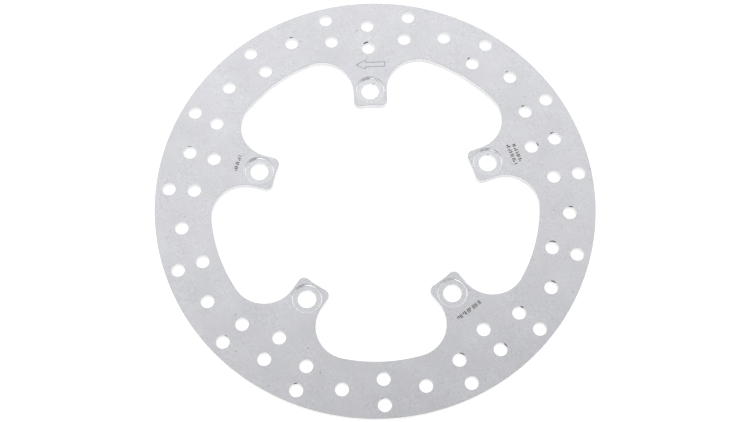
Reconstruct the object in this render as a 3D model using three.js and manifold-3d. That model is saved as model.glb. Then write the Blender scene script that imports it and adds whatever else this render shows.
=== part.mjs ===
// Fixed motorcycle brake disc, cut in one piece from stainless steel plate.
//
// Millimetres, +Z up. The origin is the disc's centre on the face that bolts to
// the wheel hub, and +Y runs along the first lug. The counterbored face, which
// takes the bolt heads, is the upper one.

import * as THREE from 'three';
import { mergeVertices } from 'three/addons/utils/BufferGeometryUtils.js';
import Module from 'manifold-3d';

const OUTER_RADIUS = 132.5;
const THICKNESS = 5;

// The inner edge: lugs that reach in to the hub, with an open window between
// each two. The lug tips lie on a circle that clears the hub's spigot.
const LUG_COUNT = 5;
const LUG_WIDTH = 20.5;
const LUG_TIP_RADIUS = 63;
const LUG_CORNER_RADIUS = 3.8;
const WINDOW_RADIUS = 99;
const WINDOW_FILLET_RADIUS = 20;

// One mounting hole through each lug, counterbored for the bolt's head.
const BOLT_CIRCLE_RADIUS = 73;
const BOLT_HOLE_RADIUS = 5.4;
const COUNTERBORE_RADIUS = 9;
const COUNTERBORE_DEPTH = 1.75;

// The friction ring's drilled holes, on rows of equal pitch. Each lug's sector
// has the same pattern: [steps round from the lug's axis, rows drilled there].
const DRILLED_HOLE_RADIUS = 4;
const FIRST_ROW_RADIUS = 101.7;
const ROW_PITCH = 7.66;
const STEPS_PER_SECTOR = 6;
const DRILLING_PATTERN = [
  [-2, [2]],
  [-1, [1, 3]],
  [0, [0, 2]],
  [1, [1, 3]],
  [2, [2]],
  [3, [1, 3]],
];

// The furthest that a flat facet may stray from the true curve.
const CHORD_ERROR = 0.06;

const TURN = 2 * Math.PI;
const SECTOR = TURN / LUG_COUNT;
const LUG_AXIS = TURN / 4;

const steel = new THREE.MeshStandardMaterial({
  name: 'ground_stainless_steel',
  color: 0xc6c6cb,
  metalness: 1,
  roughness: 0.38,
});

const wasm = await Module();
wasm.setup();

function facetAngle(radius) {
  return 2 * Math.acos(1 - CHORD_ERROR / radius);
}

function polar(radius, angle, centre = new THREE.Vector2()) {
  return new THREE.Vector2(
    centre.x + radius * Math.cos(angle),
    centre.y + radius * Math.sin(angle),
  );
}

function arc(centre, radius, from, to) {
  const steps = Math.ceil(Math.abs(to - from) / facetAngle(radius));
  const points = [];
  for (let i = 0; i <= steps; i += 1) {
    points.push(polar(radius, from + ((to - from) * i) / steps, centre));
  }
  return points;
}

// The facet count is a multiple of four, so a circle spans its full diameter
// along both X and Y.
function facetsInCircle(radius) {
  return 4 * Math.ceil(TURN / facetAngle(radius) / 4);
}

function circle(centre, radius) {
  const facets = facetsInCircle(radius);
  return Array.from({ length: facets }, (_, i) => polar(radius, (TURN * i) / facets, centre));
}

// Half of one lug and half of the window beside it, for a lug that lies along
// +Y: from the middle of the lug's tip, round its corner, up its flank and
// through the fillet to the middle of the window.
function halfLugOutline() {
  const origin = new THREE.Vector2();
  const halfWidth = LUG_WIDTH / 2;

  const cornerX = halfWidth - LUG_CORNER_RADIUS;
  const cornerY = Math.sqrt((LUG_TIP_RADIUS + LUG_CORNER_RADIUS) ** 2 - cornerX ** 2);
  const corner = new THREE.Vector2(cornerX, cornerY);

  const filletX = halfWidth + WINDOW_FILLET_RADIUS;
  const filletY = Math.sqrt((WINDOW_RADIUS - WINDOW_FILLET_RADIUS) ** 2 - filletX ** 2);
  const fillet = new THREE.Vector2(filletX, filletY);

  return [
    ...arc(origin, LUG_TIP_RADIUS, LUG_AXIS, corner.angle()),
    ...arc(corner, LUG_CORNER_RADIUS, corner.angle() - TURN / 2, 0).slice(1),
    ...arc(fillet, WINDOW_FILLET_RADIUS, TURN / 2, fillet.angle()),
    ...arc(origin, WINDOW_RADIUS, fillet.angle(), LUG_AXIS - SECTOR / 2).slice(1),
  ];
}

// The whole inner edge, going clockwise from one window's middle to the next.
function innerOutline() {
  const right = halfLugOutline();
  const left = right.slice(1).map((point) => new THREE.Vector2(-point.x, point.y));
  const oneLug = [...left.reverse(), ...right.slice(0, -1)];
  const outline = [];
  for (let lug = 0; lug < LUG_COUNT; lug += 1) {
    const turned = oneLug.map((point) => point.clone().rotateAround(new THREE.Vector2(), -lug * SECTOR));
    outline.push(...turned);
  }
  return outline;
}

function boltCentre(lug) {
  return polar(BOLT_CIRCLE_RADIUS, LUG_AXIS + lug * SECTOR);
}

function drilledCentres() {
  const centres = [];
  for (let lug = 0; lug < LUG_COUNT; lug += 1) {
    for (const [step, rows] of DRILLING_PATTERN) {
      const angle = LUG_AXIS + (lug + step / STEPS_PER_SECTOR) * SECTOR;
      for (const row of rows) {
        centres.push(polar(FIRST_ROW_RADIUS + row * ROW_PITCH, angle));
      }
    }
  }
  return centres;
}

function plateGeometry() {
  const plate = new THREE.Shape(circle(new THREE.Vector2(), OUTER_RADIUS));
  plate.holes.push(new THREE.Path(innerOutline()));
  for (let lug = 0; lug < LUG_COUNT; lug += 1) {
    plate.holes.push(new THREE.Path(circle(boltCentre(lug), BOLT_HOLE_RADIUS)));
  }
  for (const centre of drilledCentres()) {
    plate.holes.push(new THREE.Path(circle(centre, DRILLED_HOLE_RADIUS)));
  }
  return new THREE.ExtrudeGeometry(plate, { depth: THICKNESS, bevelEnabled: false });
}

// A cutter from the counterbore's floor to well above the plate.
function counterboreGeometry(lug) {
  const height = 2 * COUNTERBORE_DEPTH;
  const facets = facetsInCircle(COUNTERBORE_RADIUS);
  const cutter = new THREE.CylinderGeometry(COUNTERBORE_RADIUS, COUNTERBORE_RADIUS, height, facets);
  const { x, y } = boltCentre(lug);
  cutter.rotateX(TURN / 4);
  cutter.translate(x, y, THICKNESS - COUNTERBORE_DEPTH + height / 2);
  return cutter;
}

function toSolid(geometry) {
  const bare = geometry.clone();
  bare.deleteAttribute('normal');
  bare.deleteAttribute('uv');
  const merged = mergeVertices(bare);
  return new wasm.Manifold(new wasm.Mesh({
    numProp: 3,
    vertProperties: new Float32Array(merged.attributes.position.array),
    triVerts: new Uint32Array(merged.index.array),
  }));
}

function toGeometry(solid) {
  const mesh = solid.getMesh();
  const geometry = new THREE.BufferGeometry();
  geometry.setAttribute('position', new THREE.BufferAttribute(mesh.vertProperties, 3));
  geometry.setIndex(new THREE.BufferAttribute(mesh.triVerts, 1));
  geometry.computeVertexNormals();
  return geometry;
}

function brakeDisc() {
  let solid = toSolid(plateGeometry());
  for (let lug = 0; lug < LUG_COUNT; lug += 1) {
    solid = solid.subtract(toSolid(counterboreGeometry(lug)));
  }
  const disc = new THREE.Mesh(toGeometry(solid), steel);
  disc.name = 'brake_disc';
  return disc;
}

const rotor = new THREE.Group();
rotor.add(brakeDisc());

export default rotor;
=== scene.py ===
import math
import random
from itertools import pairwise

import bmesh
import bpy
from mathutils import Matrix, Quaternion, Vector


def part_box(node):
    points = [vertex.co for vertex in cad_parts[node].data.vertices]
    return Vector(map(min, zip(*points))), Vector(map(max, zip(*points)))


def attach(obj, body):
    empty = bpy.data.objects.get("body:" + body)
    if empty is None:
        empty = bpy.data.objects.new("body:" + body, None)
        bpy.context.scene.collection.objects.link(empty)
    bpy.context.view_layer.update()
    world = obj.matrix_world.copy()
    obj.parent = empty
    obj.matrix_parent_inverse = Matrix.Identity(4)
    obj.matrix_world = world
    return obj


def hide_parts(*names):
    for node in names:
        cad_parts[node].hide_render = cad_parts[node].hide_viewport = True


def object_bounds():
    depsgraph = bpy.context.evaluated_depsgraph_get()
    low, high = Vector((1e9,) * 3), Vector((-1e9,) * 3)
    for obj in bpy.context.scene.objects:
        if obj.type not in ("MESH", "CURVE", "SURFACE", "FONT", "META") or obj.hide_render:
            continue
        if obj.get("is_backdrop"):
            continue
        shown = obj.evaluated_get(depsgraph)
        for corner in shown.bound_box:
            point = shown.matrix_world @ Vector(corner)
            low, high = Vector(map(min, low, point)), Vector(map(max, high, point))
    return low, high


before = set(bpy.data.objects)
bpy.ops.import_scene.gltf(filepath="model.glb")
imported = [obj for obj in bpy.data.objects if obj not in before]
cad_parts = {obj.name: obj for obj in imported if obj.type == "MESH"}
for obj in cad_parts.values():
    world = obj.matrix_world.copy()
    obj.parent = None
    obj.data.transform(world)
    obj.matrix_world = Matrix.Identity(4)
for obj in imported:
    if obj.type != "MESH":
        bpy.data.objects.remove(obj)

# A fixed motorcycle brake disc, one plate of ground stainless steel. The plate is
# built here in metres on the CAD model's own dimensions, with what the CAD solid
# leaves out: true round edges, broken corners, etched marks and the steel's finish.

cad_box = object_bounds()

MM = 0.001
TURN = 2 * math.pi

# ---------------------------------------------------------------- dimensions

PLATE_LOW, PLATE_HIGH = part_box("brake_disc")
OUTER_RADIUS = PLATE_HIGH[0]
BACK = PLATE_LOW[2]
TOP = PLATE_HIGH[2]

LUG_COUNT = 5
SECTOR = TURN / LUG_COUNT
LUG_AXIS = TURN / 4
LUG_WIDTH = 20.5 * MM
LUG_TIP_RADIUS = 63 * MM
LUG_CORNER_RADIUS = 3.8 * MM
WINDOW_RADIUS = 99 * MM
WINDOW_FILLET_RADIUS = 20 * MM

BOLT_CIRCLE_RADIUS = 73 * MM
BOLT_HOLE_RADIUS = 5.4 * MM
COUNTERBORE_RADIUS = 9 * MM
COUNTERBORE_DEPTH = 1.75 * MM
COUNTERBORE_FILLET = 0.6 * MM
COUNTERBORE_BREAK = 0.16 * MM

DRILLED_HOLE_RADIUS = 4 * MM
FIRST_ROW_RADIUS = 101.7 * MM
ROW_PITCH = 7.66 * MM
STEPS_PER_SECTOR = 6
# Each step round a lug's fifth of the ring, with the rows that have a hole there.
DRILLING_PATTERN = ((-2, (2,)), (-1, (1, 3)), (0, (0, 2)), (1, (1, 3)), (2, (2,)), (3, (1, 3)))

# The radii of the broken edges, and the steps that each is built in.
RIM_BREAK = 0.2 * MM
WINDOW_BREAK = 0.15 * MM
HOLE_BREAK = 0.12 * MM
CORNER_STEPS = 4

MARK_DEPTH = 0.08 * MM

# How far a chord may lie from its arc, the angle between faces at which an edge is shaded
# sharp, and the height of the normal from which a face counts as flat.
CHORD_ERROR = 0.008 * MM
SHARP_ANGLE = math.radians(35)
FLAT_NORMAL = 0.9999

# ---------------------------------------------------------------- outlines


def polar(centre, radius, angle):
    return (centre[0] + radius * math.cos(angle), centre[1] + radius * math.sin(angle))


def arc(centre, radius, start, end, steps):
    return [polar(centre, radius, start + (end - start) * i / steps) for i in range(steps + 1)]


def facets(radius, angle=TURN):
    """How many steps, in fours, keep an arc's chords within CHORD_ERROR of it."""
    return 4 * math.ceil(abs(angle) / (8 * math.acos(1 - CHORD_ERROR / radius)))


def circle(centre, radius):
    """An outline function: the circle, widened by what it is given."""
    steps = facets(radius)

    def outline(grow):
        return arc(centre, radius + grow, 0, TURN, steps)[:-1]

    return outline


def half_lug(grow):
    """From the middle of a lug's tip, for a lug along +Y, to the middle of the next window.

    However far it grows, the corner's and the fillet's centres stay where they are."""
    origin = (0, 0)
    half_width = LUG_WIDTH / 2 - grow
    tip = LUG_TIP_RADIUS + grow
    corner = LUG_CORNER_RADIUS - grow
    window = WINDOW_RADIUS + grow
    fillet = WINDOW_FILLET_RADIUS + grow

    corner_x = half_width - corner
    corner_y = math.sqrt((tip + corner) ** 2 - corner_x**2)
    corner_angle = math.atan2(corner_y, corner_x)
    fillet_x = half_width + fillet
    fillet_y = math.sqrt((window - fillet) ** 2 - fillet_x**2)
    fillet_angle = math.atan2(fillet_y, fillet_x)
    window_end = LUG_AXIS - SECTOR / 2

    tip_steps = facets(LUG_TIP_RADIUS, LUG_WIDTH / 2 / LUG_TIP_RADIUS)
    corner_steps = facets(LUG_CORNER_RADIUS, TURN / 2 - corner_angle)
    fillet_steps = facets(WINDOW_FILLET_RADIUS, TURN / 2 - fillet_angle)
    window_steps = facets(WINDOW_RADIUS, fillet_angle - window_end)
    return [
        *arc(origin, tip, LUG_AXIS, corner_angle, tip_steps),
        *arc((corner_x, corner_y), corner, corner_angle - TURN / 2, 0, corner_steps)[1:],
        *arc((fillet_x, fillet_y), fillet, TURN / 2, fillet_angle, fillet_steps),
        *arc(origin, window, fillet_angle, window_end, window_steps)[1:],
    ]


def rotated(points, angle):
    cosine, sine = math.cos(angle), math.sin(angle)
    return [(x * cosine - y * sine, x * sine + y * cosine) for x, y in points]


def inner_edge(grow):
    """An outline function: the five lugs and the windows between them, widened."""
    right = half_lug(grow)
    left = [(-x, y) for x, y in right[1:]]
    one_lug = left[::-1] + right[:-1]
    return [point for lug in range(LUG_COUNT) for point in rotated(one_lug, -lug * SECTOR)]


def outer_edge(grow):
    """An outline function: the rim. Growing takes steel away, so it draws the rim in."""
    return arc((0, 0), OUTER_RADIUS - grow, 0, TURN, facets(OUTER_RADIUS))[:-1]


def bolt_centre(lug):
    return polar((0, 0), BOLT_CIRCLE_RADIUS, LUG_AXIS + lug * SECTOR)


def drilled_holes():
    """Each hole's name, which is its lug, step and row, with its centre."""
    for lug in range(LUG_COUNT):
        for step, rows in DRILLING_PATTERN:
            angle = LUG_AXIS + (lug + step / STEPS_PER_SECTOR) * SECTOR
            for row in rows:
                yield (lug, step, row), polar((0, 0), FIRST_ROW_RADIUS + row * ROW_PITCH, angle)


# ---------------------------------------------------------------- residue and painted shade at the holes

# Dark marks at the rims of some drilled holes, mostly on their far sides: partly residue
# and partly painted shade. By the hole's lug, step and row: the direction of its middle from
# the hole's centre and the arc that it covers, both in degrees, and its strength.
DRILLED_HOLE_SHADE_AND_SMEARS = {
    (0, 0, 0): (110, 60, 1.0),
    (0, 2, 2): (92, 50, 0.55),
    (1, 0, 2): (92, 60, 0.5),
    (2, -1, 3): (60, 50, 0.6),
    (2, 1, 3): (95, 40, 0.8),
    (2, 3, 3): (108, 40, 0.6),
    (3, -1, 1): (62, 60, 0.8),
    (3, 0, 2): (38, 60, 0.85),
    (3, 1, 1): (60, 45, 0.95),
    (3, 2, 2): (66, 60, 0.9),
    (3, 3, 1): (80, 80, 0.9),
    (4, -2, 2): (76, 55, 0.75),
    (4, 0, 0): (18, 55, 0.85),
    (4, 0, 2): (114, 50, 0.85),
    (4, 1, 1): (110, 50, 0.75),
    (4, 2, 2): (117, 40, 0.65),
    (4, 3, 1): (122, 40, 0.85),
}
# The same three numbers, after the lug's, for residue and painted shade on the
# counterbores' walls and on the edges of the bolt holes in them.
COUNTERBORE_SHADE_AND_SMEARS = (
    (0, 118, 24, 0.6),
    (0, 97, 24, 0.6),
    (0, 64, 22, 0.45),
    (1, 117, 46, 1.0),
    (2, 116, 48, 1.0),
    (3, 119, 28, 0.55),
    (3, 96, 26, 0.42),
    (3, 50, 22, 0.45),
    (4, 112, 24, 0.5),
    (4, 88, 24, 0.5),
    (4, 51, 24, 0.8),
)
BOLT_HOLE_SHADE_AND_SMEARS = (
    (0, 66, 24, 0.5),
    (0, 120, 24, 0.42),
    (4, 84, 24, 0.55),
)
# How far a drilled hole's residue and painted shade fade out over the face and down the wall.
SHADE_AND_SMEAR_ON_FACE = 0.5 * MM
SHADE_AND_SMEAR_ON_WALL = 2.4 * MM

# ---------------------------------------------------------------- the etched marks

TICK_WIDTHS = (0.35 * MM, 0.75 * MM)
TICK_GAPS = (0.35 * MM, 0.6 * MM)
GROUP_GAP = 0.65 * MM
GROUP_SIZES = (2, 3, 4)
# A tick's share of its row's height, drawn from these, so about one in three is short.
TICK_SHARES = (1, 1, 0.55)
TICK_SEED = 173
# Rows of plain ticks on the lugs' roots: lug, distance of the row's middle from the
# disc's centre, middle of the row across the lug, and the row's length and height.
TICK_ROWS = (
    (1, 87.0 * MM, 1.2 * MM, 10.0 * MM, 2.1 * MM),
    (3, 87.4 * MM, -0.7 * MM, 16.8 * MM, 2.5 * MM),
    (4, 92.0 * MM, 0.6 * MM, 11.6 * MM, 2.1 * MM),
    (4, 88.5 * MM, 0.6 * MM, 13.6 * MM, 2.1 * MM),
)

ARROW_LUG = 0
ARROW_CENTRE = (0.9 * MM, 90.3 * MM)
ARROW_LENGTH = 18.2 * MM
ARROW_HEIGHT = 6.8 * MM
ARROW_HEAD = 6.2 * MM
ARROW_SHAFT_HEIGHT = 3.4 * MM
ARROW_LINE = 0.4 * MM


def row_of_ticks(draw, start, end):
    """The sides of each tick between start and end, and its share of the row's height."""
    narrowest = TICK_WIDTHS[0]
    left = start
    while left < end:
        for _ in range(draw.choice(GROUP_SIZES)):
            right = min(left + draw.uniform(*TICK_WIDTHS), end)
            if right - left > narrowest / 2:
                yield left, right, draw.choice(TICK_SHARES)
            left = right + draw.uniform(*TICK_GAPS)
        left += GROUP_GAP


def ticks():
    """Each tick's corners."""
    draw = random.Random(TICK_SEED)
    for lug, radius, middle, length, height in TICK_ROWS:
        low = radius - height / 2
        for left, right, share in row_of_ticks(draw, middle - length / 2, middle + length / 2):
            high = low + height * share
            corners = [(left, low), (right, low), (right, high), (left, high)]
            yield rotated(corners, lug * SECTOR)


def arrow(inset):
    """A plain arrow pointing along -X, drawn in by inset along its straight sides."""
    tip_slope = ARROW_HEIGHT / 2 / ARROW_HEAD
    tip_inset = inset * math.sqrt(1 + 1 / tip_slope**2)
    left = -ARROW_LENGTH / 2 + tip_inset
    neck = -ARROW_LENGTH / 2 + ARROW_HEAD - inset
    barb = (neck - left) * tip_slope
    shaft = ARROW_SHAFT_HEIGHT / 2 - inset
    right = ARROW_LENGTH / 2 - inset
    upper = [(left, 0), (neck, barb), (neck, shaft), (right, shaft)]
    lower = [(x, -y) for x, y in upper[:0:-1]]
    placed = [(x + ARROW_CENTRE[0], y + ARROW_CENTRE[1]) for x, y in upper + lower]
    return rotated(placed, ARROW_LUG * SECTOR)


# ---------------------------------------------------------------- the plate's mesh

# Material slots, in the order of MATERIALS.
FACE, EDGE, RIM, WALL, DRILLED, TURNED, SEAT, ETCHED, ENGRAVED = range(9)

# The rings that can carry residue and painted shade, where a corner has CORNER_STEPS + 1 of
# them. A drilled hole's edge is its upper corner, after one ring out on the face. A
# counterbore's wall runs from its corner's last ring down its fillet, and a bolt hole's edge is
# its upper corner. Both leave out the ring that lies on the counterbore's floor.
DRILLED_HOLE_EDGE = slice(1, CORNER_STEPS + 2)
COUNTERBORE_WALL = slice(CORNER_STEPS, 2 * CORNER_STEPS + 1)
BOLT_HOLE_EDGE = slice(-2 * CORNER_STEPS - 1, -CORNER_STEPS - 1)


def broken_corner(size, z, inward):
    """(grow, height) steps of a quarter round from a face at z, which goes inward, to the wall."""
    steps = []
    for i in range(CORNER_STEPS + 1):
        angle = TURN / 4 * i / CORNER_STEPS
        steps.append((size * (1 - math.sin(angle)), z + inward * size * (1 - math.cos(angle))))
    return steps


def through_section(size):
    """The section of an opening that goes straight through, from the top face to the back."""
    return broken_corner(size, TOP, -1) + broken_corner(size, BACK, 1)[::-1]


def drilled_section():
    """(section, slots) of a drilled hole, with a band on either side of its rim for residue and
    painted shade.
    """
    upper = broken_corner(HOLE_BREAK, TOP, -1)
    lower = broken_corner(HOLE_BREAK, BACK, 1)[::-1]
    section = [(HOLE_BREAK + SHADE_AND_SMEAR_ON_FACE, TOP), *upper, (0, TOP - SHADE_AND_SMEAR_ON_WALL), *lower]
    return section, [FACE] + [DRILLED] * (len(section) - 2)


def hollow_corner(size, wall, z):
    """(grow, height) steps of a fillet, down a wall and onto a floor at z."""
    steps = []
    for i in range(CORNER_STEPS + 1):
        angle = TURN / 4 * i / CORNER_STEPS
        steps.append((wall - size * (1 - math.cos(angle)), z + size * (1 - math.sin(angle))))
    return steps


def counterbored_section():
    """(section, slots) of a bolt hole, as growth over the through hole's radius."""
    wall = COUNTERBORE_RADIUS - BOLT_HOLE_RADIUS
    seat = TOP - COUNTERBORE_DEPTH
    counterbore = [
        *((wall + grow, z) for grow, z in broken_corner(COUNTERBORE_BREAK, TOP, -1)),
        *hollow_corner(COUNTERBORE_FILLET, wall, seat),
    ]
    hole = broken_corner(HOLE_BREAK, seat, -1) + broken_corner(HOLE_BREAK, BACK, 1)[::-1]
    corner, wall_and_fillet = [SEAT] * CORNER_STEPS, [TURNED] * (CORNER_STEPS + 1)
    slots = [*corner, *wall_and_fillet, SEAT, *[DRILLED] * (len(hole) - 1)]
    return counterbore + hole, slots


def is_flat(face):
    return abs(face.normal.z) > FLAT_NORMAL


class Plate:
    """The mesh under construction: openings and marks first, then the faces round them."""

    def __init__(self):
        self.bm = bmesh.new()
        self.shade_and_residue = self.bm.verts.layers.float.new("shade_and_residue")
        self.top_edges = []
        self.back_edges = []

    def ring(self, points, z):
        return [self.bm.verts.new((x, y, z)) for x, y in points]

    def loop_edges(self, ring):
        pairs = pairwise([*ring, ring[0]])
        return [self.bm.edges.get(pair) or self.bm.edges.new(pair) for pair in pairs]

    def bridge(self, upper, lower, slot):
        quads = zip(upper, upper[1:] + upper[:1], lower[1:] + lower[:1], lower)
        for quad in quads:
            self.bm.faces.new(quad).material_index = slot

    def opening(self, outline, section, slots):
        """Sweeps a section round an outline, from an edge of the top face to one of the back.

        Returns the rings of points that it made."""
        rings = [self.ring(outline(grow), z) for grow, z in section]
        for (upper, lower), slot in zip(pairwise(rings), slots):
            self.bridge(upper, lower, slot)
        self.top_edges += self.loop_edges(rings[0])
        self.back_edges += self.loop_edges(rings[-1])
        return rings

    def through(self, outline, size, wall, edge):
        """An opening that goes straight through, with its corners broken by size."""
        corner = [edge] * CORNER_STEPS
        self.opening(outline, through_section(size), [*corner, wall, *corner])

    def shade_and_smear(self, rings, direction, spread, strength):
        """Marks residue and painted shade on a hole's rings, fading out round it and to both
        sides.
        """
        for ring in rings:
            for i, vert in enumerate(ring):
                away = abs((360 * i / len(ring) - direction + 180) % 360 - 180)
                shade_and_residue = strength * (1 - (2 * away / spread) ** 2)
                vert[self.shade_and_residue] = max(vert[self.shade_and_residue], shade_and_residue)

    def fill(self, edges, slot):
        """A flat face with holes: whatever lies between the loops of edges."""
        filled = bmesh.ops.triangle_fill(self.bm, use_beauty=True, edges=edges, normal=(0, 0, 1))
        for face in filled["geom"]:
            if isinstance(face, bmesh.types.BMFace):
                face.material_index = slot

    def recess(self, points, slot):
        """The walls of a shallow pocket. Returns its top ring and its floor's ring."""
        upper, lower = self.ring(points, TOP), self.ring(points, TOP - MARK_DEPTH)
        self.bridge(upper, lower, slot)
        return upper, lower

    def etch_tick(self, corners):
        upper, lower = self.recess(corners, ETCHED)
        self.top_edges += self.loop_edges(upper)
        self.bm.faces.new(lower).material_index = ETCHED

    def engrave_outline(self, outside, inside):
        """A groove between two outlines, with the plate's face left standing inside it."""
        outer_upper, outer_lower = self.recess(outside, ENGRAVED)
        inner_upper, inner_lower = self.recess(inside, ENGRAVED)
        self.top_edges += self.loop_edges(outer_upper)
        self.fill(self.loop_edges(inner_upper), FACE)
        self.fill(self.loop_edges(outer_lower) + self.loop_edges(inner_lower), ENGRAVED)

    def finish(self, name):
        """Fills both faces, makes sure that the plate is closed, and adds it to the scene."""
        self.fill(self.top_edges, FACE)
        self.fill(self.back_edges, FACE)
        bmesh.ops.recalc_face_normals(self.bm, faces=self.bm.faces)
        for face in self.bm.faces:
            face.smooth = True
        for edge in self.bm.edges:
            if len(edge.link_faces) != 2:
                raise RuntimeError(f"the plate isn't closed at {edge.verts[0].co}")
            one_side_flat = is_flat(edge.link_faces[0]) != is_flat(edge.link_faces[1])
            edge.smooth = not one_side_flat and edge.calc_face_angle() < SHARP_ANGLE
        mesh = bpy.data.meshes.new(name)
        self.bm.to_mesh(mesh)
        self.bm.free()
        piece = bpy.data.objects.new(name, mesh)
        bpy.context.scene.collection.objects.link(piece)
        return piece


def build_plate():
    plate = Plate()
    plate.through(outer_edge, RIM_BREAK, RIM, EDGE)
    plate.through(inner_edge, WINDOW_BREAK, WALL, EDGE)
    for name, centre in drilled_holes():
        rings = plate.opening(circle(centre, DRILLED_HOLE_RADIUS), *drilled_section())
        # Residue and painted shade on some holes' rims.
        if name in DRILLED_HOLE_SHADE_AND_SMEARS:
            plate.shade_and_smear(rings[DRILLED_HOLE_EDGE], *DRILLED_HOLE_SHADE_AND_SMEARS[name])
    bolt_holes = [
        plate.opening(circle(bolt_centre(lug), BOLT_HOLE_RADIUS), *counterbored_section())
        for lug in range(LUG_COUNT)
    ]
    # Residue and painted shade in the counterbores and on the edges of the bolt holes.
    for lug, *shade_and_smear in COUNTERBORE_SHADE_AND_SMEARS:
        plate.shade_and_smear(bolt_holes[lug][COUNTERBORE_WALL], *shade_and_smear)
    for lug, *shade_and_smear in BOLT_HOLE_SHADE_AND_SMEARS:
        plate.shade_and_smear(bolt_holes[lug][BOLT_HOLE_EDGE], *shade_and_smear)
    for corners in ticks():
        plate.etch_tick(corners)
    plate.engrave_outline(arrow(0), arrow(ARROW_LINE))
    return plate.finish("disc_plate")


# ---------------------------------------------------------------- materials


class Nodes:
    """A node tree. Values are numbers or other nodes' output sockets."""

    def __init__(self, tree):
        self.tree = tree

    def node(self, kind, inputs=(), **settings):
        made = self.tree.nodes.new(kind)
        for key, value in settings.items():
            setattr(made, key, value)
        for key, value in dict(inputs).items():
            self.feed(made.inputs[key], value)
        return made

    def feed(self, socket, value):
        if isinstance(value, bpy.types.NodeSocket):
            self.tree.links.new(value, socket)
        else:
            socket.default_value = value

    def math(self, operation, a, b=0.0):
        return self.node("ShaderNodeMath", {0: a, 1: b}, operation=operation).outputs[0]

    def vector_math(self, operation, a, b):
        return self.node("ShaderNodeVectorMath", {0: a, 1: b}, operation=operation).outputs

    def remap(self, value, low, high, to_low, to_high, smooth=False):
        """Takes low..high to to_low..to_high, and stops there on both sides."""
        inputs = {
            "Value": value,
            "From Min": low,
            "From Max": high,
            "To Min": to_low,
            "To Max": to_high,
        }
        kind = "SMOOTHSTEP" if smooth else "LINEAR"
        return self.node("ShaderNodeMapRange", inputs, interpolation_type=kind).outputs["Result"]


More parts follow.
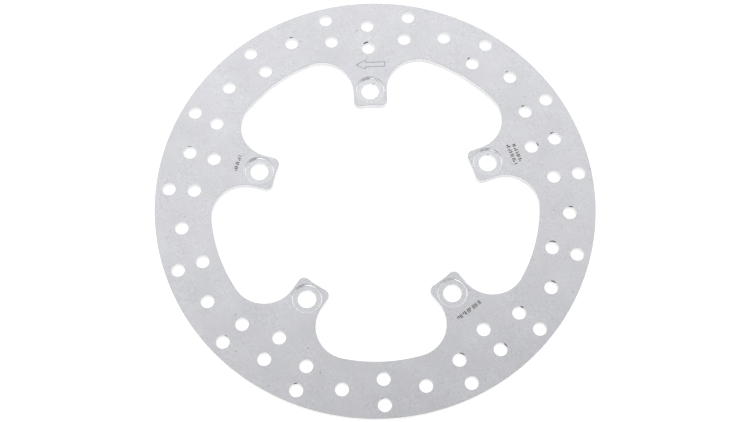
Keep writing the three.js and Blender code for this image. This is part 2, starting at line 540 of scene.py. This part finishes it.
class Shader(Nodes):
    """A metal's material, with places on the plate in millimetres."""

    def __init__(self, name):
        self.material = bpy.data.materials.new(name)
        self.material.use_nodes = True
        super().__init__(self.material.node_tree)
        self.bsdf = self.tree.nodes["Principled BSDF"]
        self.bsdf.inputs["Metallic"].default_value = 1.0
        place = self.node("ShaderNodeTexCoord").outputs["Object"]
        scale = self.node("ShaderNodeVectorMath", {0: place, "Scale": 1 / MM}, operation="SCALE")
        self.mm = scale.outputs[0]

    def noise(self, place, size, detail=2.0, roughness=0.5):
        """Noise whose blotches are about size millimetres across, from 0 to 1."""
        inputs = {"Vector": place, "Scale": 1 / size, "Detail": detail, "Roughness": roughness}
        return self.node("ShaderNodeTexNoise", inputs).outputs["Fac"]

    def stretched(self, scale, detail=2.0, roughness=0.5):
        """Noise with a frequency of its own along X, Y and Z, per millimetre."""
        place = self.node("ShaderNodeMapping", {"Vector": self.mm, "Scale": scale}).outputs[0]
        return self.noise(place, size=1.0, detail=detail, roughness=roughness)

    def streaks(self, angle, length, width):
        """Noise drawn out into straight lines at an angle across the plate."""
        place = self.node(
            "ShaderNodeMapping",
            {"Vector": self.mm, "Rotation": (0, 0, angle), "Scale": (length, width, width)},
            vector_type="TEXTURE",
        ).outputs[0]
        return self.noise(place, size=1.0, detail=3.0, roughness=0.6)

    def rings(self, centre, length, width):
        """Noise drawn out into arcs round a point, which is in millimetres."""
        offset = self.vector_math("SUBTRACT", self.mm, (*centre, 0))[0]
        parts = self.node("ShaderNodeSeparateXYZ", {0: offset})
        x, y = parts.outputs["X"], parts.outputs["Y"]
        squares = self.math("ADD", self.math("MULTIPLY", x, x), self.math("MULTIPLY", y, y))
        radius = self.math("SQRT", squares)
        along = self.math("MULTIPLY", self.math("ARCTAN2", y, x), math.hypot(*centre) / length)
        across = self.math("DIVIDE", radius, width)
        place = self.node("ShaderNodeCombineXYZ", {"X": along, "Y": across}).outputs[0]
        return self.noise(place, size=1.0)

    def specks(self, spacing, size, strength):
        """Round spots up to size x spacing in radius, most of them faint and some missing."""
        grid = {"Vector": self.mm, "Scale": 1 / spacing}
        cells = self.node("ShaderNodeTexVoronoi", grid, feature="F1")
        chance = self.node("ShaderNodeSeparateColor", {0: cells.outputs["Color"]}).outputs["Red"]
        spot = self.remap(cells.outputs["Distance"], 0.4 * size, size, 1, 0, smooth=True)
        return self.math("MULTIPLY", spot, self.remap(chance, 0.45, 1.0, 0, strength))

    def with_shade_and_residue(self, colour, stain_and_shade=0.04):
        """Darkens a colour to a grey where the mesh carries residue and painted shade, with a
        ragged edge.
        """
        shade_and_residue = self.node("ShaderNodeAttribute", attribute_name="shade_and_residue").outputs["Fac"]
        wander = self.spread(self.noise(self.mm, size=0.5), -0.2, 0.2)
        ragged = self.math("ADD", shade_and_residue, wander)
        return self.mix(self.remap(ragged, 0.3, 0.5, 0, 0.95), colour, grey(stain_and_shade))

    def average(self, *values):
        total = values[0]
        for value in values[1:]:
            total = self.math("ADD", total, value)
        return self.math("DIVIDE", total, len(values))

    def spread(self, noise, low, high):
        """Takes the values that a noise mostly has to low..high."""
        return self.remap(noise, 0.3, 0.7, low, high)

    def mottle(self, noise, first, second):
        """Mixes two colours by a noise, with some of each left pure."""
        return self.mix(self.remap(noise, 0.35, 0.65, 0, 1), first, second)

    def mix(self, factor, first, second):
        made = self.node("ShaderNodeMix", data_type="RGBA")
        self.feed(made.inputs["Factor"], factor)
        for socket, colour in zip([s for s in made.inputs if s.type == "RGBA"], (first, second)):
            self.feed(socket, colour)
        return next(s for s in made.outputs if s.type == "RGBA")

    def bump(self, height, depth, strength):
        inputs = {"Height": height, "Distance": depth, "Strength": strength}
        self.feed(self.bsdf.inputs["Normal"], self.node("ShaderNodeBump", inputs).outputs[0])

    def set(self, **values):
        for name, value in values.items():
            self.feed(self.bsdf.inputs[name.replace("_", " ").title()], value)
        return self.material


def grey(level, blue=0.0):
    """A grey, or with blue above 0 one that leans towards it."""
    return (level, level * (1 + 0.3 * blue), level * (1 + blue), 1.0)


LILAC_STEEL = (0.62, 0.60, 0.65, 1)
DARK_BURN = (0.06, 0.04, 0.032, 1)
LIGHT_BURN = (0.17, 0.125, 0.11, 1)


def ground_face():
    """Both faces: ground flat, with fine crossing scratches, faint clouding and dark specks."""
    shader = Shader("ground_face")
    grain = shader.average(
        shader.streaks(math.radians(14), length=14.0, width=0.35),
        shader.streaks(math.radians(-52), length=9.0, width=0.4),
        shader.rings((-95, -60), length=12.0, width=0.4),
        shader.rings((120, 40), length=12.0, width=0.45),
    )
    clouds = shader.noise(shader.mm, size=22.0, detail=4.0, roughness=0.6)
    fine = shader.noise(shader.mm, size=0.9, roughness=0.6)
    tint = shader.noise(shader.mm, size=12.0, detail=1.0)
    patches = shader.noise(shader.mm, size=9.0, detail=1.0)

    busy = shader.remap(patches, 0.35, 0.65, 0.3, 1.45)
    scratches = shader.math("SUBTRACT", shader.average(grain, fine), 0.5)
    tone = shader.math("MULTIPLY", scratches, busy)
    steel = shader.mottle(clouds, grey(0.595, 0.035), grey(0.645, 0.045))
    steel = shader.mix(shader.remap(tint, 0.4, 0.62, 0, 0.4), steel, LILAC_STEEL)
    colour = shader.mix(shader.remap(tone, -0.1, 0.1, 0.34, 0), steel, grey(0.35))
    faint_specks = shader.specks(spacing=3.0, size=0.16, strength=0.6)
    colour = shader.mix(faint_specks, colour, grey(0.28))
    dark_specks = shader.specks(spacing=6.0, size=0.09, strength=0.85)
    colour = shader.mix(dark_specks, colour, grey(0.1))

    shader.bump(tone, depth=0.02 * MM, strength=0.35)
    roughness = shader.spread(grain, 0.29, 0.39)
    # The face takes the residue and painted shade round some drilled holes' rims.
    return shader.set(base_color=shader.with_shade_and_residue(colour), roughness=roughness)


def broken_edge():
    """The rim's and the windows' edges, deburred and duller than the steel round them."""
    shader = Shader("broken_edge")
    nicks = shader.noise(shader.mm, size=0.7, roughness=0.6)
    colour = shader.mottle(nicks, grey(0.34), grey(0.55, 0.03))
    return shader.set(base_color=colour, roughness=shader.spread(nicks, 0.4, 0.55))


def turned_rim():
    """The outer rim: turned bright, with fine lines round the disc."""
    shader = Shader("turned_rim")
    lines = shader.stretched((0.08, 0.08, 5.0))
    colour = shader.mottle(lines, grey(0.72), grey(0.86))
    shader.bump(lines, depth=0.01 * MM, strength=0.3)
    return shader.set(base_color=colour, roughness=shader.spread(lines, 0.25, 0.4))


def cut_wall():
    """The windows: cut through the plate, with fine lines across its thickness and dull bands."""
    shader = Shader("cut_wall")
    lines = shader.stretched((2.2, 2.2, 0.12), detail=3.0, roughness=0.6)
    bands = shader.stretched((0.05, 0.05, 1.3))
    colour = shader.mix(shader.remap(lines, 0.35, 0.65, 0, 0.35), grey(0.8, 0.02), grey(0.6, 0.02))
    colour = shader.mix(shader.remap(bands, 0.56, 0.7, 0, 0.5), colour, grey(0.3))
    shader.bump(lines, depth=0.03 * MM, strength=0.4)
    return shader.set(base_color=colour, roughness=shader.spread(lines, 0.26, 0.42))


def drilled_wall():
    """The round holes' walls: drilled with fine lines round them, with painted shade that leaves
    them darker up towards the rim and brighter further down.
    """
    shader = Shader("drilled_wall")
    lines = shader.stretched((0.3, 0.3, 4.0))
    height = shader.node("ShaderNodeSeparateXYZ", {0: shader.mm}).outputs["Z"]
    # Painted shade: the wall's colour darkens from near the back up to the top face.
    painted_shade = shader.remap(height, 0.5, TOP / MM, 0, 1)
    colour = shader.mix(painted_shade, grey(0.84, 0.01), grey(0.68, 0.02))
    shader.bump(lines, depth=0.02 * MM, strength=0.4)
    roughness = shader.spread(lines, 0.2, 0.34)
    # Residue and painted shade darken some holes' rims.
    return shader.set(base_color=shader.with_shade_and_residue(colour), roughness=roughness)


def turned(name, level, smoothest):
    """A counterbore's fresh-cut steel, with fine tool marks and duller blotches."""
    shader = Shader(name)
    marks = shader.noise(shader.mm, size=0.5)
    blotches = shader.noise(shader.mm, size=1.6, roughness=0.6)
    dulled = shader.math(
        "ADD",
        shader.remap(marks, 0.4, 0.6, 0, 0.2),
        shader.remap(blotches, 0.45, 0.65, 0, 0.4),
    )
    colour = shader.mix(dulled, grey(level, 0.035), grey(level - 0.15, 0.035))
    shader.bump(marks, depth=0.02 * MM, strength=0.3)
    roughness = shader.spread(marks, smoothest, smoothest + 0.1)
    # Residue and painted shade darken these surfaces where the mesh carries them.
    return shader.set(base_color=shader.with_shade_and_residue(colour, stain_and_shade=0.58), roughness=roughness)


def turned_wall():
    return turned("turned_wall", level=0.78, smoothest=0.14)


def turned_seat():
    return turned("turned_seat", level=0.63, smoothest=0.26)


def etched_mark():
    """The etched pockets: burnt dark and matt."""
    shader = Shader("etched_mark")
    burn = shader.noise(shader.mm, size=0.6, roughness=0.6)
    colour = shader.mottle(burn, DARK_BURN, LIGHT_BURN)
    return shader.set(base_color=colour, roughness=shader.spread(burn, 0.5, 0.7))


def engraved_mark():
    """The arrow's groove: bare metal, dulled."""
    shader = Shader("engraved_mark")
    dulled = shader.noise(shader.mm, size=0.8, roughness=0.6)
    colour = shader.mottle(dulled, grey(0.24), grey(0.42, 0.03))
    return shader.set(base_color=colour, roughness=shader.spread(dulled, 0.4, 0.6))


# One for each slot, in the slots' order.
MATERIALS = (
    ground_face,
    broken_edge,
    turned_rim,
    cut_wall,
    drilled_wall,
    turned_wall,
    turned_seat,
    etched_mark,
    engraved_mark,
)

# ---------------------------------------------------------------- floor, light and camera

# Lengths are in metres, and directions start from the disc.
FLOOR_SIZE = 6.0
FLOOR_GAP = 0.05 * MM

ROOM_COLOUR = (0.985, 0.985, 1.0, 1)
BEYOND_THE_DISC = (-0.22, 1.07, 0)
VIEWER_SIDE = (0.04, -0.14, 0.99)
# The room's light low down, and overhead on the near and the far side of the disc.
LOW_LIGHT = 0.95
NEAR_LIGHT = 1.15
FAR_LIGHT = 1.62
# Where one gives way to the next: from low to overhead by height, from near to far by the
# dot product with BEYOND_THE_DISC, and out of the dark patch by the distance from its middle.
OVERHEAD_SPAN = (0.5, 0.85)
FAR_SPAN = (0.06, 0.84)
PATCH_SPAN = (0.22, 0.43)

SOFTBOX_DISTANCE = 1.6
# Each softbox's direction, its width and height, and its power in watts.
SOFTBOXES = {
    "left_softbox": ((-0.85, 0.25, 0.42), (0.9, 0.6), 1.7),
    "right_softbox": ((0.85, 0.25, 0.42), (0.9, 0.6), 1.7),
    "high_softbox": ((-0.17, -0.29, 0.94), (0.5, 0.36), 1.9),
}

# The lens and the sensor are in millimetres, as Blender takes them.
CAMERA_LENS = 73.5
SENSOR_WIDTH = 36.0
CAMERA_TARGET = Vector((-0.5 * MM, -6.3 * MM, TOP))
CAMERA_DISTANCE = 0.919
CAMERA_AZIMUTH = math.radians(3.56)
CAMERA_ELEVATION = math.radians(70.48)
CAMERA_ROLL = math.radians(1.1)


def add_floor():
    """A floor that glows, so that it is white and the disc casts nearly no shadow on it."""
    mesh = bpy.data.meshes.new("floor")
    half = FLOOR_SIZE / 2
    z = BACK - FLOOR_GAP
    corners = [(-half, -half, z), (half, -half, z), (half, half, z), (-half, half, z)]
    mesh.from_pydata(corners, [], [(0, 1, 2, 3)])
    floor = bpy.data.objects.new("floor", mesh)
    bpy.context.scene.collection.objects.link(floor)
    paint = bpy.data.materials.new("floor_paint")
    paint.use_nodes = True
    surface = paint.node_tree.nodes["Principled BSDF"]
    surface.inputs["Base Color"].default_value = grey(0.12)
    surface.inputs["Roughness"].default_value = 0.9
    surface.inputs["Specular IOR Level"].default_value = 0.1
    surface.inputs["Emission Color"].default_value = grey(1.0)
    surface.inputs["Emission Strength"].default_value = 1.0
    mesh.materials.append(paint)
    floor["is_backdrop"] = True


def add_world():
    """A white room, brightest overhead beyond the disc.

    A dark patch lies nearly overhead, on the viewer's side."""
    world = bpy.data.worlds.new("studio")
    bpy.context.scene.world = world
    world.use_nodes = True
    studio = Nodes(world.node_tree)
    direction = studio.node("ShaderNodeTexCoord").outputs["Generated"]
    beyond = studio.vector_math("DOT_PRODUCT", direction, BEYOND_THE_DISC)["Value"]
    overhead = studio.remap(beyond, *FAR_SPAN, NEAR_LIGHT, FAR_LIGHT, smooth=True)
    from_patch = studio.vector_math("DISTANCE", direction, VIEWER_SIDE)["Value"]
    outside_patch = studio.remap(from_patch, *PATCH_SPAN, 0, 1, smooth=True)
    overhead = studio.math("MULTIPLY", overhead, outside_patch)
    height = studio.node("ShaderNodeSeparateXYZ", {0: direction}).outputs["Z"]
    lift = studio.remap(height, *OVERHEAD_SPAN, 0, 1, smooth=True)
    levels = {"Factor": lift, "A": LOW_LIGHT, "B": overhead}
    strength = studio.node("ShaderNodeMix", levels, data_type="FLOAT").outputs["Result"]
    light = studio.tree.nodes["Background"]
    light.inputs["Color"].default_value = ROOM_COLOUR
    studio.feed(light.inputs["Strength"], strength)


def add_softbox(name, towards, size, power):
    """A rectangular light that faces the disc."""
    data = bpy.data.lights.new(name, "AREA")
    data.shape = "RECTANGLE"
    data.size, data.size_y = size
    data.energy = power
    lamp = bpy.data.objects.new(name, data)
    bpy.context.scene.collection.objects.link(lamp)
    direction = Vector(towards).normalized()
    lamp.location = direction * SOFTBOX_DISTANCE
    lamp.rotation_euler = direction.to_track_quat("Z", "Y").to_euler()


def add_camera():
    """The photo's camera. Azimuth 0 looks along +Y, and elevation is downwards from level."""
    data = bpy.data.cameras.new("camera")
    data.lens = CAMERA_LENS
    data.sensor_width = SENSOR_WIDTH
    camera = bpy.data.objects.new("camera", data)
    bpy.context.scene.collection.objects.link(camera)
    level = math.cos(CAMERA_ELEVATION)
    x, y = math.sin(CAMERA_AZIMUTH) * level, math.cos(CAMERA_AZIMUTH) * level
    forward = Vector((x, y, -math.sin(CAMERA_ELEVATION)))
    camera.location = CAMERA_TARGET - forward * CAMERA_DISTANCE
    aim = forward.to_track_quat("-Z", "Y") @ Quaternion((0, 0, 1), CAMERA_ROLL)
    camera.rotation_euler = aim.to_euler()
    bpy.context.scene.camera = camera


bpy.context.scene.view_settings.view_transform = "Standard"
add_world()
add_floor()
for name, (towards, size, power) in SOFTBOXES.items():
    add_softbox(name, towards, size, power)
add_camera()

disc = build_plate()
for make in MATERIALS:
    disc.data.materials.append(make())
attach(disc, "root")
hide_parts("brake_disc")

box_lists = [[list(corner) for corner in box] for box in (cad_box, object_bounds())]
